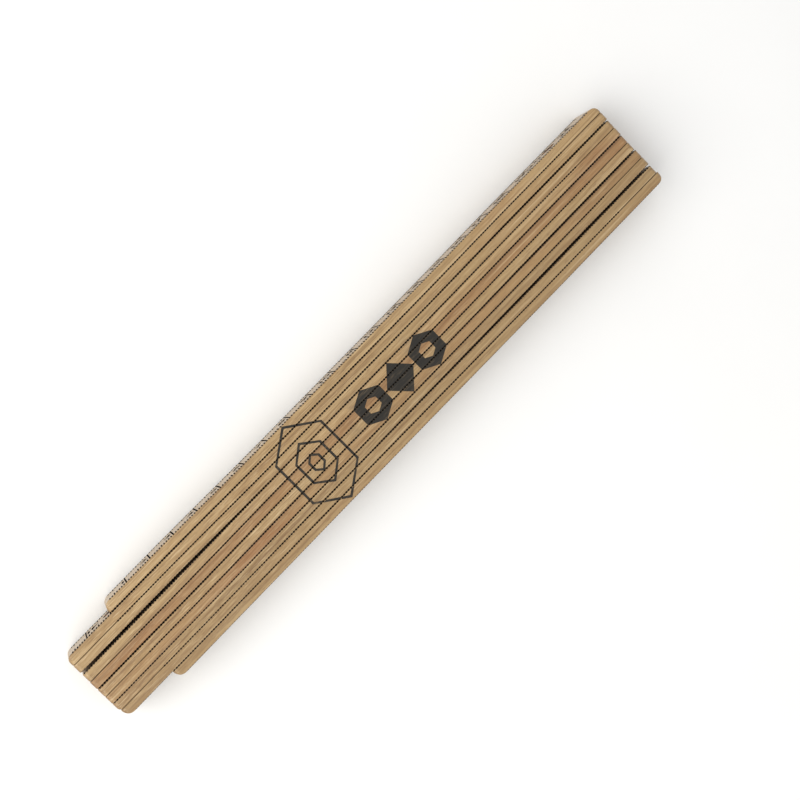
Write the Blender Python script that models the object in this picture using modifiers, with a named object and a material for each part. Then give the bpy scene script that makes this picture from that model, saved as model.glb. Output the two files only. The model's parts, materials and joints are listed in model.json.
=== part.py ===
"""Two-metre folding rule: ten beech members on nine riveted spring hinges, folded and lying on edge.

X runs along the members, Y through the stack with member 1 at +Y, and Z up across their width.
The origin is the centre of the folded stack's underside. Every length is in metres.
Hinge k joins members k and k + 1. Odd hinges stand at +X and even hinges at -X.
"""

import math

import bmesh
import bpy
from mathutils import Euler, Vector

MM = 0.001
STAND_ALONG_Y = Euler((-math.pi / 2, 0, 0))  # turns +Z to +Y

# Members
MEMBERS = 10
PIVOT_SPACING = 200 * MM  # ten of these make the two-metre scale
OVERHANG = 19 * MM  # from a pivot to the tip beyond it
SLAT_THICKNESS = 3.0 * MM
SLAT_WIDTH = 16.0 * MM
SLAT_GAP = 0.2 * MM
PITCH = SLAT_THICKNESS + SLAT_GAP
TIP_CORNER = 1.5 * MM  # radius of a tip's corners, seen on the wide face
# Tips whose lower corner the photo shows further cut back: (member, x side)
LOW_CORNER_MM = {(1, -1): 5.0, (1, +1): 2.5, (2, -1): 4.0}

# The folded stack's ends are sanded as one: what each member loses at its tip, in mm
TRIM_MM = {
    -1: (0.0, 0.1, 0.1, 0.1, 0.0, 0.0, 0.0, 0.0, 0.4, 0.3),
    +1: (0.0, 0.0, 0.2, 0.2, 0.4, 0.4, 0.3, 0.3, 0.4, 0.0),
}
# Upright corners that the sanding rounds: (member, X side, Y side): radius in mm
ROUNDED_MM = {
    (1, -1, +1): 2.4,
    (1, +1, +1): 2.8,
    (2, -1, +1): 2.0,
    (8, -1, -1): 1.3,
    (9, -1, -1): 2.9,
    (10, -1, -1): 2.9,
    (10, +1, -1): 2.7,
}
EASED = 0.3 * MM  # every other upright corner

# Hinge plates, sunk in the faces that meet
PLATE_THICKNESS = 0.45 * MM
PLATE_WIDTH = 11.0 * MM
PLATE_INWARD = 17.0 * MM  # from the pivot towards the middle of the member
PLATE_OUTWARD = 14.0 * MM  # from the pivot towards its tip
PLATE_CORNER = 2.0 * MM
PLATE_SINK = 0.05 * MM  # below the wood's face
SEAT_CLEARANCE = 0.05 * MM  # between a metal piece and the wood under and around it
PRONG_ALONG = (-15.0 * MM, 12.0 * MM)  # from the pivot, positive towards the tip
PRONG_ACROSS = 3.6 * MM  # from the member's middle line
PRONG_SIZE = (0.5 * MM, 1.6 * MM)  # along and across the member
PRONG_DEPTH = 1.4 * MM

# Detents, which click the hinge every quarter turn
DETENTS = 4
DETENT_CIRCLE = 4.0 * MM
BUMP_FOOT = 0.8 * MM
BUMP_TOP = 0.45 * MM
BUMP_HEIGHT = 0.2 * MM
DIMPLE_RADIUS = 0.9 * MM
DIMPLE_DEPTH = 0.2 * MM

# Semi-tubular rivet: a closed head at the back, a rolled rim over a washer at the front
SHANK_RADIUS = 1.5 * MM
METAL_HOLE = 1.56 * MM
WOOD_HOLE = 1.6 * MM
HEAD_RADIUS = 2.6 * MM
HEAD_CROWN = 2.0 * MM  # radius where the head's bevel starts
HEAD_BEVEL = 0.2 * MM
HEAD_THICKNESS = 0.4 * MM
RIM_RADIUS = 2.1 * MM
RIM_THICKNESS = 0.3 * MM
RIM_BEVEL = 0.15 * MM
BORE_RADIUS = 0.95 * MM
BORE_MOUTH = 1.25 * MM
BORE_DEPTH = 2.6 * MM
WASHER_THICKNESS = 0.3 * MM
COUNTERBORE_RADIUS = 2.75 * MM

MITRE = 1.0 * MM  # how far a cutter runs past the face it cuts
CORNER_STEPS = 3
ROUND_STEPS = 16
TOUCHING = 1e-7  # two places nearer than this are the same
SHARP_ANGLE = math.radians(35)  # steeper edges stay sharp
DETENT_STEPS = 8

BEECH_PALE = (0.50, 0.35, 0.205, 1.0)
BEECH_HONEY = (0.46, 0.30, 0.165, 1.0)
BEECH_ROSY = (0.40, 0.245, 0.135, 1.0)
TONE = {1: BEECH_PALE, 4: BEECH_PALE, 5: BEECH_ROSY, 7: BEECH_ROSY}  # the other members are honey
SPRING_STEEL = (0.55, 0.50, 0.40, 1.0)
BRASS = (0.72, 0.52, 0.24, 1.0)


def clear_scene():
    for thing in list(bpy.data.objects):
        bpy.data.objects.remove(thing, do_unlink=True)


def new_collection(name):
    made = bpy.data.collections.new(name)
    bpy.context.scene.collection.children.link(made)
    return made


def new_material(name, colour, roughness, metallic=0.0):
    made = bpy.data.materials.new(name)
    made.use_nodes = True
    shader = made.node_tree.nodes["Principled BSDF"]
    shader.inputs["Base Color"].default_value = colour
    shader.inputs["Roughness"].default_value = roughness
    shader.inputs["Metallic"].default_value = metallic
    return made


def hinge_side(hinge):
    """The X side that a hinge stands on."""
    return 1 if hinge % 2 else -1


def hinge_x(hinge):
    return hinge_side(hinge) * PIVOT_SPACING / 2


def member_y(member):
    """The middle of a member's thickness."""
    return ((MEMBERS + 1) / 2 - member) * PITCH


def tip_x(member, side):
    """Where a member ends: beyond its pivot, or on the pivot line at the rule's two free ends."""
    free = side < 0 and member in (1, MEMBERS)
    reach = PIVOT_SPACING / 2 + (0 if free else OVERHANG)
    return side * (reach - TRIM_MM[side][member - 1] * MM)


def block(low, high):
    """A box between two corners, as a bmesh for the caller to finish."""
    low, high = Vector(low), Vector(high)
    work = bmesh.new()
    bmesh.ops.create_cube(work, size=1.0)
    bmesh.ops.scale(work, vec=high - low, verts=work.verts)
    bmesh.ops.translate(work, vec=(low + high) / 2, verts=work.verts)
    return work


def round_corner(work, along, corner, radius, steps=CORNER_STEPS):
    """Bevels the edge of a box that runs along one axis and passes through a corner."""
    across = [axis for axis in range(3) if axis != along]
    near = [
        edge for edge in work.edges
        if all(abs(vert.co[axis] - corner[axis]) < TOUCHING for vert in edge.verts for axis in across)
    ]
    bmesh.ops.bevel(work, geom=near, offset=radius, segments=steps, profile=0.5, affect="EDGES")


def finish_mesh(work, name, smooth=False):
    data = bpy.data.meshes.new(name)
    work.to_mesh(data)
    work.free()
    if smooth:
        data.shade_smooth()
        data.set_sharp_from_angle(angle=SHARP_ANGLE)
    return data


def rounded_block(name, low, high, along, radii):
    """A box whose four edges along one axis are rounded: radii holds {(side, side): radius}."""
    across = [axis for axis in range(3) if axis != along]
    work = block(low, high)
    for sides, radius in radii.items():
        corner = [0.0, 0.0, 0.0]
        for axis, side in zip(across, sides):
            corner[axis] = high[axis] if side > 0 else low[axis]
        round_corner(work, along, corner, radius)
    return finish_mesh(work, name)


def four_corners(radius):
    return {(a, b): radius for a in (-1, 1) for b in (-1, 1)}


def disc_mesh(name, foot_radius, top_radius, height, steps):
    """A disc or frustum that rises along +Y from the origin."""
    work = bmesh.new()
    bmesh.ops.create_cone(
        work, cap_ends=True, segments=steps, radius1=foot_radius, radius2=top_radius, depth=height
    )
    bmesh.ops.translate(work, vec=(0, 0, height / 2), verts=work.verts)
    bmesh.ops.rotate(work, matrix=STAND_ALONG_Y.to_matrix(), verts=work.verts)
    return finish_mesh(work, name, smooth=True)


def turned_mesh_object(name, profile):
    """An object turned about Y: profile holds (radius, y) points down its outer side, from +Y to -Y."""
    work = bmesh.new()
    points = [work.verts.new((radius, 0, y)) for radius, y in profile]
    for start, end in zip(points, points[1:]):
        work.edges.new((start, end))
    if profile[0][0] > 0:
        work.edges.new((points[-1], points[0]))
    made = bpy.data.objects.new(name, finish_mesh(work, name))
    made.rotation_euler = STAND_ALONG_Y
    turn = made.modifiers.new("turn", "SCREW")
    turn.steps = turn.render_steps = ROUND_STEPS
    turn.use_merge_vertices = True
    turn.merge_threshold = 1e-6
    return made


def boolean(target, cutter, operation="DIFFERENCE"):
    cut = target.modifiers.new(f"{operation.lower()} {cutter.name}", "BOOLEAN")
    cut.operation = operation
    cut.object = cutter


def add_cutter(name, data, place=(0, 0, 0)):
    made = bpy.data.objects.new(name, data)
    made.location = place
    made.hide_render = True
    made.display_type = "WIRE"
    cutters.objects.link(made)
    return made


def add_part(made, member, place, material):
    """Puts a piece in the model at a world place, parented to its member's axis."""
    made.data.materials.append(material)
    made.parent = axes[member]
    made.location = Vector(place) - axis_place(member)
    model.objects.link(made)
    return made


def axis_place(member):
    """A point on the hinge that a member turns about; member 1 turns about none."""
    x = hinge_x(member - 1) if member > 1 else 0.0
    return Vector((x, member_y(member), SLAT_WIDTH / 2))


def add_axes():
    """One empty for each member on its hinge's axis, each parented to the one before."""
    made = {}
    for member in range(1, MEMBERS + 1):
        empty = bpy.data.objects.new(f"member_{member:02d}_axis", None)
        empty.empty_display_size = 5 * MM
        empty.location = axis_place(member)
        if member > 1:
            empty.parent = made[member - 1]
            empty.location -= axis_place(member - 1)
        model.objects.link(empty)
        made[member] = empty
    return made


def slat_blank(member):
    """The member's wood before any pocket: its wide-face outline crossed with its plan outline."""
    half_y, half_z = SLAT_THICKNESS / 2, SLAT_WIDTH / 2
    left, right = tip_x(member, -1), tip_x(member, 1)
    face_radii = four_corners(TIP_CORNER)
    for x_side in (-1, 1):
        if (member, x_side) in LOW_CORNER_MM:
            face_radii[(x_side, -1)] = LOW_CORNER_MM[(member, x_side)] * MM
    face = rounded_block(
        f"slat_{member:02d}",
        (left, -half_y - MITRE, -half_z),
        (right, half_y + MITRE, half_z),
        1,
        face_radii,
    )
    radii = {
        (x_side, y_side): ROUNDED_MM.get((member, x_side, y_side), EASED / MM) * MM
        for x_side in (-1, 1)
        for y_side in (-1, 1)
    }
    plan = rounded_block(
        f"slat_{member:02d}_plan",
        (left, -half_y, -half_z - MITRE),
        (right, half_y, half_z + MITRE),
        2,
        radii,
    )
    return face, plan


def add_slat(member):
    face, plan = slat_blank(member)
    place = Vector((0, member_y(member), SLAT_WIDTH / 2))
    slat = add_part(bpy.data.objects.new(f"slat_{member:02d}", face), member, place, beech[member])
    boolean(slat, add_cutter(plan.name, plan, place), "INTERSECT")
    return slat


def plate_box(x, side, inner, outer, grow=0.0):
    """The low and high corners of a plate's outline about a pivot, from y inner to y outer."""
    ends = sorted((-side * (PLATE_INWARD + grow), side * (PLATE_OUTWARD + grow)))
    half = PLATE_WIDTH / 2 + grow
    return (x + ends[0], min(inner, outer), -half), (x + ends[1], max(inner, outer), half)


def prong_boxes(side, start, end, grow=0.0):
    """Where the four prongs lie about a pivot, from y start to y end."""
    along, across = (length / 2 + grow for length in PRONG_SIZE)
    for offset in PRONG_ALONG:
        for z_side in (-1, 1):
            x, z = side * offset, z_side * PRONG_ACROSS
            yield (x - along, min(start, end), z - across), (x + along, max(start, end), z + across)


def cut_seat(slat, hinge, member, facing):
    """Cuts a hinge's plate recess, prong slots, rivet hole and counterbore in one of its slats.

    facing is the Y side that the slat turns to its partner: -1 on the front slat, +1 on the rear.
    """
    side, x = hinge_side(hinge), hinge_x(hinge)
    half = SLAT_THICKNESS / 2
    pivot = Vector((x, member_y(member), SLAT_WIDTH / 2))
    name = f"{slat.name}_hinge_{hinge}"
    floor = half - PLATE_SINK - PLATE_THICKNESS - SEAT_CLEARANCE
    low, high = plate_box(0, side, facing * floor, facing * (half + MITRE), SEAT_CLEARANCE)
    recess = rounded_block(f"{name}_recess", low, high, 1, four_corners(PLATE_CORNER))
    boolean(slat, add_cutter(recess.name, recess, pivot))

    bottom = floor - PRONG_DEPTH
    boxes = prong_boxes(side, facing * bottom, facing * (floor + SEAT_CLEARANCE), SEAT_CLEARANCE)
    for number, (low, high) in enumerate(boxes, 1):
        slot = finish_mesh(block(low, high), f"{name}_slot_{number}")
        boolean(slat, add_cutter(slot.name, slot, pivot))

    hole = disc_mesh(f"{name}_hole", WOOD_HOLE, WOOD_HOLE, SLAT_THICKNESS + 2 * MITRE, ROUND_STEPS)
    boolean(slat, add_cutter(hole.name, hole, pivot - Vector((0, half + MITRE, 0))))

    buried = HEAD_THICKNESS if facing > 0 else RIM_THICKNESS + SEAT_CLEARANCE + WASHER_THICKNESS
    depth = PLATE_SINK + buried + SEAT_CLEARANCE
    bore = disc_mesh(f"{name}_bore", COUNTERBORE_RADIUS, COUNTERBORE_RADIUS, depth + MITRE, ROUND_STEPS)
    start = half - depth if facing < 0 else -half - MITRE
    boolean(slat, add_cutter(bore.name, bore, pivot + Vector((0, start, 0))))


def add_plate(hinge, member, facing, name):
    """A stamped plate with four prongs, and detent bumps on the front one or dimples on the rear."""
    side = hinge_side(hinge)
    pivot = Vector((hinge_x(hinge), member_y(member), SLAT_WIDTH / 2))
    outer = SLAT_THICKNESS / 2 - PLATE_SINK
    inner = outer - PLATE_THICKNESS
    low, high = plate_box(0, side, facing * inner, facing * outer)
    data = rounded_block(name, low, high, 1, four_corners(PLATE_CORNER))
    plate = add_part(bpy.data.objects.new(name, data), member, pivot, spring_steel)

    middle, tip = inner + PLATE_THICKNESS / 2, inner - PRONG_DEPTH
    for number, (low, high) in enumerate(prong_boxes(side, facing * tip, facing * middle), 1):
        prong = finish_mesh(block(low, high), f"{name}_prong_{number}")
        boolean(plate, add_cutter(prong.name, prong, pivot), "UNION")

    hole = disc_mesh(f"{name}_hole", METAL_HOLE, METAL_HOLE, PLATE_THICKNESS + 2 * MITRE, ROUND_STEPS)
    start = min(facing * inner, facing * outer) - MITRE
    boolean(plate, add_cutter(hole.name, hole, pivot + Vector((0, start, 0))))

    for number in range(DETENTS):
        angle = 2 * math.pi * (number + 0.5) / DETENTS
        offset = Vector((math.cos(angle), 0, math.sin(angle))) * DETENT_CIRCLE
        add_detent(plate, number + 1, pivot + offset, facing, outer)
    return plate


def add_detent(plate, number, place, facing, outer):
    """One bump that stands out of the front plate, or one dimple sunk in the rear plate."""
    name = f"{plate.name}_detent_{number}"
    if facing < 0:
        height = BUMP_HEIGHT + PLATE_THICKNESS / 2
        data = disc_mesh(name, BUMP_TOP, BUMP_FOOT, height, DETENT_STEPS)
        place = place - Vector((0, outer + BUMP_HEIGHT, 0))
        operation = "UNION"
    else:
        data = disc_mesh(name, DIMPLE_RADIUS, DIMPLE_RADIUS, DIMPLE_DEPTH + MITRE, DETENT_STEPS)
        place = place + Vector((0, outer - DIMPLE_DEPTH, 0))
        operation = "DIFFERENCE"
    boolean(plate, add_cutter(name, data, place), operation)


def rivet_profile():
    """Half a section of the rivet, with y = 0 between the two slats that it joins."""
    front = PITCH / 2 + SLAT_THICKNESS / 2 - PLATE_SINK
    rim_back = front - RIM_THICKNESS
    head_front = -front + HEAD_THICKNESS
    bore_end = front - BORE_DEPTH
    return [
        (0, bore_end),
        (BORE_RADIUS, bore_end),
        (BORE_RADIUS, rim_back),
        (BORE_MOUTH, front),
        (RIM_RADIUS - RIM_BEVEL, front),
        (RIM_RADIUS, front - RIM_BEVEL),
        (RIM_RADIUS, rim_back),
        (SHANK_RADIUS, rim_back),
        (SHANK_RADIUS, head_front),
        (HEAD_RADIUS, head_front),
        (HEAD_RADIUS, -front + HEAD_BEVEL),
        (HEAD_CROWN, -front),
        (0, -front),
    ]


def washer_profile():
    """Half a section of the washer that lies under the rivet's rim."""
    front = PITCH / 2 + SLAT_THICKNESS / 2 - PLATE_SINK - RIM_THICKNESS - SEAT_CLEARANCE
    back = front - WASHER_THICKNESS
    return [
        (METAL_HOLE, front),
        (HEAD_RADIUS, front),
        (HEAD_RADIUS, back),
        (METAL_HOLE, back),
    ]


def add_hinge(hinge, slats):
    """Everything that joins members hinge and hinge + 1."""
    front, rear = hinge, hinge + 1
    name = f"hinge_{front}_{rear}"
    cut_seat(slats[front], hinge, front, -1)
    cut_seat(slats[rear], hinge, rear, +1)
    add_plate(hinge, front, -1, f"{name}_front_plate")
    add_plate(hinge, rear, +1, f"{name}_rear_plate")
    middle = Vector((hinge_x(hinge), (member_y(front) + member_y(rear)) / 2, SLAT_WIDTH / 2))
    add_part(turned_mesh_object(f"{name}_rivet", rivet_profile()), rear, middle, brass)
    add_part(turned_mesh_object(f"{name}_washer", washer_profile()), front, middle, brass)


clear_scene()
model = new_collection("folding_rule")
cutters = new_collection("cutters")
beech = {
    member: new_material(f"beech_{member:02d}", TONE.get(member, BEECH_HONEY), 0.55)
    for member in range(1, MEMBERS + 1)
}
spring_steel = new_material("spring_steel", SPRING_STEEL, 0.35, 1.0)
brass = new_material("brass", BRASS, 0.3, 1.0)
axes = add_axes()
slats = {member: add_slat(member) for member in range(1, MEMBERS + 1)}
for number in range(1, MEMBERS):
    add_hinge(number, slats)
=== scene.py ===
"""Folding rule: the looks of ten beech members, their riveted hinges and their printing.

Everything is in metres in the row frame: X runs along the members, Y through the folded stack with
member 1 at +Y, and Z up across their width. Hinge k joins members k and k + 1.
"""

import json
import math
import random
from bisect import bisect_right

import bmesh
import bpy
from mathutils import Matrix, Vector

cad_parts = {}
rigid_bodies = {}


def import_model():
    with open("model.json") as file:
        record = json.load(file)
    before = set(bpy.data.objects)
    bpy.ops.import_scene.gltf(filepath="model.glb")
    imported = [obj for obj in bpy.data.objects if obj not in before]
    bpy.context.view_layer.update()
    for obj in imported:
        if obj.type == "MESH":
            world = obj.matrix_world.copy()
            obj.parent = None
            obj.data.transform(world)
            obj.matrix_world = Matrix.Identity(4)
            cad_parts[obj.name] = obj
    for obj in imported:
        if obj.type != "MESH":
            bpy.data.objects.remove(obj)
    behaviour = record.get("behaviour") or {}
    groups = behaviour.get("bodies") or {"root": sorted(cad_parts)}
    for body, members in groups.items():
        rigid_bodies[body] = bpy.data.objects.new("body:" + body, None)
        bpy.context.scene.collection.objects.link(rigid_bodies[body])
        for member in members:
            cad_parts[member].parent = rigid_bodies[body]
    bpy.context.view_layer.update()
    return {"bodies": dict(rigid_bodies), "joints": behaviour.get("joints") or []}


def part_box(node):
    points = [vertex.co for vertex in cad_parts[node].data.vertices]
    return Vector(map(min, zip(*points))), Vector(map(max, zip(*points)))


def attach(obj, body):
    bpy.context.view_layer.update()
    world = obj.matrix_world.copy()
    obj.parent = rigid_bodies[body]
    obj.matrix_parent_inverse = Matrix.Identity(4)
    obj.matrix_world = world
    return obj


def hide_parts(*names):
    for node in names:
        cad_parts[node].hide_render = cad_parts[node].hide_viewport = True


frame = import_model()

MM = 0.001
MEMBERS = len(frame["bodies"])
WOOD_BOX = {member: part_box(f"slat_{member:02d}") for member in range(1, MEMBERS + 1)}
PIVOT = {number: Vector(joint["pos_m"]) for number, joint in enumerate(frame["joints"], 1)}
WIDTH = WOOD_BOX[1][1].z - WOOD_BOX[1][0].z
HALF_WIDTH = WIDTH / 2
HALF_THICK = (WOOD_BOX[1][1].y - WOOD_BOX[1][0].y) / 2
REACH = abs(PIVOT[1].x)  # from the middle of the rule to each line of pivots

# The camera, at the photograph's viewing angle
CAMERA_PLACE = Vector((-78.3, 67.7, 601.1)) * MM
CAMERA_AIM = Vector((8.02, -4.82, 16.0)) * MM
CAMERA_ROLL = math.radians(84.66)
CAMERA_LENS = 86.6
CAMERA_SENSOR = 36.0

# The studio
WORLD_STRENGTH = 0.78
KEY_LIGHT = {"place": (-0.45, 0.15, 0.5), "size": 0.8, "power": 3.5, "colour": (1.0, 0.985, 0.96)}
FILL_LIGHT = {"place": (0.9, -0.6, 0.9), "size": 1.2, "power": 0.6, "colour": (1, 1, 1)}
FLOOR_HALF = 2.0
FLOOR_DROP = 0.2 * MM  # keeps the floor's face clear of the wood's
FLOOR_PALE = (0.92, 0.92, 0.91, 1)
FLOOR_GREY = (0.89, 0.89, 0.88, 1)

# Outlines: rounded corners, and how finely they are divided
TIP_CORNER = 1.5 * MM
LOW_CORNER_MM = {(1, -1): 5.0, (1, +1): 2.5, (2, -1): 4.0}  # lower corners cut further back
ROUNDED_MM = {
    (1, -1, +1): 2.4,
    (1, +1, +1): 2.8,
    (2, -1, +1): 2.0,
    (8, -1, -1): 1.3,
    (9, -1, -1): 2.9,
    (10, -1, -1): 2.9,
    (10, +1, -1): 2.7,
}
EASED = 0.3 * MM
LONG_EDGE = 0.2 * MM
EDGE_STEPS = 3
TIP_LEAST = 0.44 * MM  # thickness left at a tip between its rounded corners
CORNER_DEGREES = 11.25
SECTION_LEAST = 0.012 * MM  # sections closer together than this become one
RECTANGLE_STEPS = 8
ROUND_STEPS = 48
STATION_STEP = 5 * MM
STATION_REACH = 16  # stations each way from the middle, out to where the shift is constant
WOOD_CREASE = 35  # degrees: an edge that turns more is shaded as a sharp one
METAL_CREASE = 40
WASHER_CREASE = 50

# How far each member has strayed towards +Y at its two ends, which opens the stack's wedges
STRAY_MM = {
    -1: (0.42, 0.34, 0.42, -0.24, -0.20, -0.30, -0.24, -0.12, 0.0, 0.08),
    +1: (0.28, 0.38, 0.18, 0.26, 0.22, 0.28, 0.04, 0.10, -0.42, -0.34),
}
STRAY_FULL = 80 * MM  # beyond this the shift is constant, so hinges lie flat
STRAY_NONE = {9: -25 * MM, 10: -25 * MM}  # where the shift at +X ends; 30 mm on other members
STRAY_ENDS = 30 * MM

# Hinge hardware
PLATE_THICK = 0.45 * MM
PLATE_HALF_WIDTH = 5.5 * MM
PLATE_INWARD = 17.0 * MM
PLATE_OUTWARD = 14.0 * MM
PLATE_CORNER = 2.0 * MM
SINK = 0.05 * MM
CLEAR = 0.05 * MM
PRONG_ALONG = (-15.0 * MM, 12.0 * MM)
PRONG_ACROSS = 3.6 * MM
PRONG_HALF = (0.25 * MM, 0.8 * MM)
PRONG_DEPTH = 1.4 * MM
DETENT_CIRCLE = 4.0 * MM
DETENTS = 4
DETENT_STEPS = 16
DETENT_HOLLOW_MM = ((0.9, 0.3), (0.82, 0.05), (0.6, -0.12), (0.3, -0.19), (0, -0.2))  # radius, height
DETENT_DOME_MM = ((0.8, 0.1), (0.76, -0.02), (0.6, -0.13), (0.35, -0.185), (0, -0.2))
SHANK = 1.5 * MM
METAL_HOLE = 1.56 * MM
WOOD_HOLE = 1.6 * MM
HEAD = 2.6 * MM
COUNTERBORE = 2.75 * MM
HEAD_THICK = 0.4 * MM
HEAD_BROKEN = 0.05 * MM  # the broken edge on the side of the head that meets the wood
HEAD_CROWN_MM = ((2.6, 0.2), (2.5, 0.11), (2.25, 0.03), (1.9, 0), (0.3, 0), (0, 0))  # radius, height
RIM = 2.1 * MM
RIM_THICK = 0.3 * MM
RIM_FLARE_MM = ((1.05, -0.16), (1.25, -0.04), (1.42, 0), (1.7, 0))
BORE = 0.95 * MM
BORE_DEEP = 2.6 * MM
BORE_FOOT_MM = ((0, -0.25), (0.6, -0.1), (0.95, 0))
BORE_SHADE = 1.72 * MM  # inside this radius, and down to the foot, the bore takes the near-black material: painted shade, and tarnish
BORE_SHADE_FOOT = 0.3 * MM
WASHER_THICK = 0.3 * MM
WASHER_TURN = 0.06 * MM
PAST = 1.0 * MM  # how far a cutter runs past the face it cuts
JOIN = 0.1 * MM  # how far joined solids run into each other

# Printing
FILM = 0.012 * MM
TICK_WIDTH = 0.5 * MM
CM_WIDTH = 0.52 * MM
TICK_LONG = 2.5 * MM
HALF_CM_LONG = 4.0 * MM
NUMERAL_HEIGHT = 4.8 * MM
NUMERAL_GAP = 0.6 * MM
NUMERAL_SPACE = 0.094  # between digits, as a share of their height
NUMERAL_CURVE = 3
NUMERAL_BOLDER = 0.02
NUMERAL_PLATE_ROOM = 0.2 * MM
NUMERAL_TIP_ROOM = 1 * MM
LINE_PLATE_ROOM = 0.3 * MM
RIVET_ROOM = 0.15 * MM
STROKE_LEAST = 3 * LONG_EDGE  # a shorter line isn't printed

# The generic mark on the stack's upper edges: nested outlines, and three blocks beside them
STROKE = 0.8 * MM
STROKE_TIP = 1.25  # how far a stroke goes in at an outline's tip, and at its shoulder, in strokes
STROKE_SHOULDER = 0.3
MARK_MARGIN = {MEMBERS: 0.7 * MM, 1: 0.2 * MM}
BADGE_X = -23.8 * MM
BADGE_OUTER = (10.2 * MM, 8.2 * MM)  # half its length along X, and its shoulder
BADGE_INNER = ((5.6 * MM, 8.4 * MM, 4.0 * MM), (2.4 * MM, 3.6 * MM, 1.5 * MM))
BLOCK_X = (1.0 * MM, 25.2 * MM)
BLOCK_Y = 0.05 * MM
BLOCK_HALF = (5.6 * MM, 6.25 * MM)
BLOCK_SHOULDER = 3.3 * MM
BLOCK_HOLE = 0.42  # its size as a share of the block's
DIAMOND_X = 13.1 * MM
DIAMOND_HALF = (5.9 * MM, 6.25 * MM)
MARK_TRIM = 0.6  # where the print ends on a rounded edge, in steps of it


# ---------------------------------------------------------------- small helpers


def side_of(hinge):
    return 1 if PIVOT[hinge].x > 0 else -1


def eased(share):
    share = min(max(share, 0.0), 1.0)
    return share * share * (3 - 2 * share)


def stray_at(member, x):
    """A member's shift in Y at a place along it."""
    full_left = STRAY_MM[-1][member - 1] * MM
    full_right = STRAY_MM[1][member - 1] * MM
    none_right = STRAY_NONE.get(member, STRAY_ENDS)
    left = eased((-x - STRAY_ENDS) / (STRAY_FULL - STRAY_ENDS))
    right = eased((x - none_right) / (STRAY_FULL - none_right))
    return full_left * left + full_right * right


STATIONS = [index * STATION_STEP for index in range(-STATION_REACH, STATION_REACH + 1)]


def stray(member, x):
    """The same shift, straight between the wood's stations, so that print lies on the wood."""
    x = min(max(x, STATIONS[0]), STATIONS[-1])
    index = min(bisect_right(STATIONS, x), len(STATIONS) - 1)
    start, end = STATIONS[index - 1], STATIONS[index]
    share = (x - start) / (end - start)
    return stray_at(member, start) * (1 - share) + stray_at(member, end) * share


def member_y(member):
    low, high = WOOD_BOX[member]
    return (low.y + high.y) / 2


def corner_radius(member, x_side, y_side):
    return ROUNDED_MM.get((member, x_side, y_side), EASED / MM) * MM


def inset(radius, from_tip):
    """How far a rounded corner draws a side in, at a distance from the tip."""
    if from_tip >= radius:
        return 0.0
    return radius - math.sqrt(radius**2 - (radius - from_tip) ** 2)


def tip_corner(member, x_side, z_side):
    """The radius of a tip's corner as it shows on the wide face."""
    if z_side < 0 and (member, x_side) in LOW_CORNER_MM:
        return LOW_CORNER_MM[(member, x_side)] * MM
    return TIP_CORNER


def from_tip(member, x):
    low, high = WOOD_BOX[member]
    return max(min(x - low.x, high.x - x), 0.0)


def half_width_at(member, x, z_side):
    """How far the wood reaches up or down from the middle of its width."""
    x_side = -1 if x < 0 else 1
    return HALF_WIDTH - inset(tip_corner(member, x_side, z_side), from_tip(member, x))


def new_object(name, work):
    """Turns a bmesh into an object with its faces turned outwards."""
    bmesh.ops.recalc_face_normals(work, faces=work.faces)
    data = bpy.data.meshes.new(name)
    work.to_mesh(data)
    work.free()
    made = bpy.data.objects.new(name, data)
    bpy.context.scene.collection.objects.link(made)
    return made


def apply_modifiers(made):
    data = bpy.data.meshes.new_from_object(made.evaluated_get(bpy.context.evaluated_depsgraph_get()))
    old = made.data
    made.modifiers.clear()
    made.data = data
    data.name = made.name
    bpy.data.meshes.remove(old)


def boolean(target, cutter, operation="DIFFERENCE"):
    """Cuts or joins another object, and removes that object."""
    change = target.modifiers.new("change", "BOOLEAN")
    change.operation = operation
    change.object = cutter
    change.use_self = True
    apply_modifiers(target)
    bpy.data.objects.remove(cutter)


def soften(made, angle):
    """Shades smoothly across every edge that turns by less than an angle in degrees."""
    made.data.shade_smooth()
    made.data.set_sharp_from_angle(angle=math.radians(angle))
    weigh = made.modifiers.new("normals", "WEIGHTED_NORMAL")
    weigh.keep_sharp = True
    apply_modifiers(made)


# ---------------------------------------------------------------- solids


def circle(centre, radius, steps=ROUND_STEPS):
    turns = [2 * math.pi * step / steps for step in range(steps)]
    return [(centre[0] + radius * math.cos(a), centre[1] + radius * math.sin(a)) for a in turns]


def rounded_rectangle(low, high, radius, steps=RECTANGLE_STEPS):
    """Points round a rectangle with rounded corners, from two opposite corners."""
    points = []
    corners = ((high[0], high[1], 0), (low[0], high[1], 90), (low[0], low[1], 180), (high[0], low[1], 270))
    for x, z, start in corners:
        centre_x = x - radius if x == high[0] else x + radius
        centre_z = z - radius if z == high[1] else z + radius
        for step in range(steps + 1):
            angle = math.radians(start + 90 * step / steps)
            points.append((centre_x + radius * math.cos(angle), centre_z + radius * math.sin(angle)))
    return points


def rectangle(centre, half):
    signs = ((1, 1), (-1, 1), (-1, -1), (1, -1))
    return [(centre[0] + a * half[0], centre[1] + b * half[1]) for a, b in signs]


def add_prism(work, outline, start, end):
    """Adds a closed prism along Y over an outline of (x, z) points."""
    near = [work.verts.new((x, start, z)) for x, z in outline]
    far = [work.verts.new((x, end, z)) for x, z in outline]
    work.faces.new(near)
    work.faces.new(list(reversed(far)))
    for index in range(len(outline)):
        after = (index + 1) % len(outline)
        work.faces.new((near[index], far[index], far[after], near[after]))


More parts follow.
